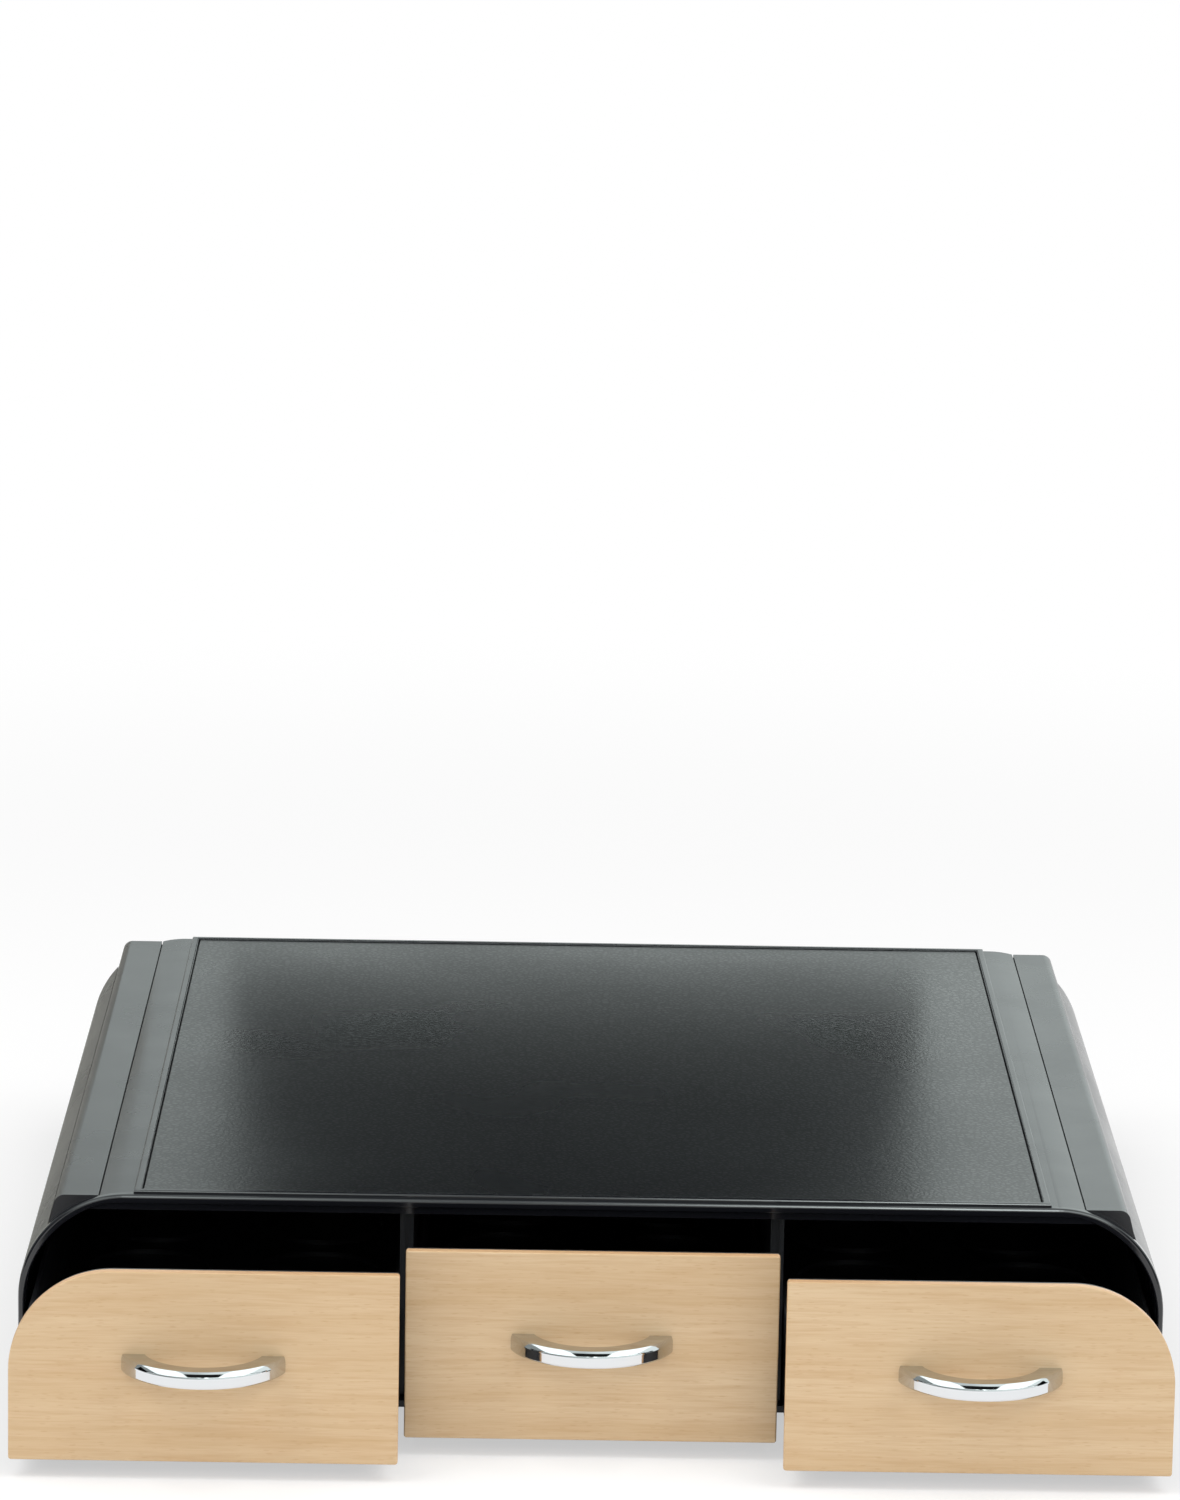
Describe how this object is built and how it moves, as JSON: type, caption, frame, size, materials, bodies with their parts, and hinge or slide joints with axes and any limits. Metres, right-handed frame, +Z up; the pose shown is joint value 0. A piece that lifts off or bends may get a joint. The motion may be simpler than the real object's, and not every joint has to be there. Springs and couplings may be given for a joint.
{
  "type": "coffee pod drawer",
  "caption": "Low countertop drawer unit for coffee pods: black arch-shaped housing with a grained deck, wooden drawer fronts and bow handles.",
  "frame": {"origin": "on the standing surface, in the middle of the housing's footprint", "axes": "+X to the viewer's right, +Y to the back, +Z up; the drawers open towards -Y"},
  "size_m": [0.34, 0.4087, 0.068],
  "materials": {
    "housing_black": "satin moulded black plastic",
    "tray_black": "plain moulded black plastic",
    "grained_black": "glossy leather-like grain on a dark panel",
    "beech_wood": "light straight-grained beech, clear satin lacquer",
    "handle_chrome": "polished chrome plating",
    "screw_steel": "zinc-plated steel",
    "foot_rubber": "matt black rubber"
  },
  "bodies": {
    "housing": {"housing_shell": "housing_black", "shoulder_left": "housing_black", "shoulder_right": "housing_black", "deck_panel": "grained_black", "base_plate": "housing_black", "rear_panel": "housing_black", "divider_left": "housing_black", "divider_right": "housing_black", "foot_front_left": "foot_rubber", "foot_front_right": "foot_rubber", "foot_rear_left": "foot_rubber", "foot_rear_right": "foot_rubber", "deck_screws": "screw_steel", "base_screws": "screw_steel", "rear_screws": "screw_steel"},
    "left_drawer": {"left_tray": "tray_black", "left_front": "beech_wood", "left_handle": "handle_chrome", "left_handle_screws": "screw_steel"},
    "middle_drawer": {"middle_tray": "tray_black", "middle_front": "beech_wood", "middle_handle": "handle_chrome", "middle_handle_screws": "screw_steel"},
    "right_drawer": {"right_tray": "tray_black", "right_front": "beech_wood", "right_handle": "handle_chrome", "right_handle_screws": "screw_steel"}
  },
  "joints": [
    {"name": "left_slide", "type": "slide", "parent": "housing", "child": "left_drawer", "axis": [0, -1, 0], "range_m": [-0.0635, 0.1965]},
    {"name": "middle_slide", "type": "slide", "parent": "housing", "child": "middle_drawer", "axis": [0, -1, 0], "range_m": [-0.0375, 0.2225]},
    {"name": "right_slide", "type": "slide", "parent": "housing", "child": "right_drawer", "axis": [0, -1, 0], "range_m": [-0.0635, 0.1965]}
  ]
}
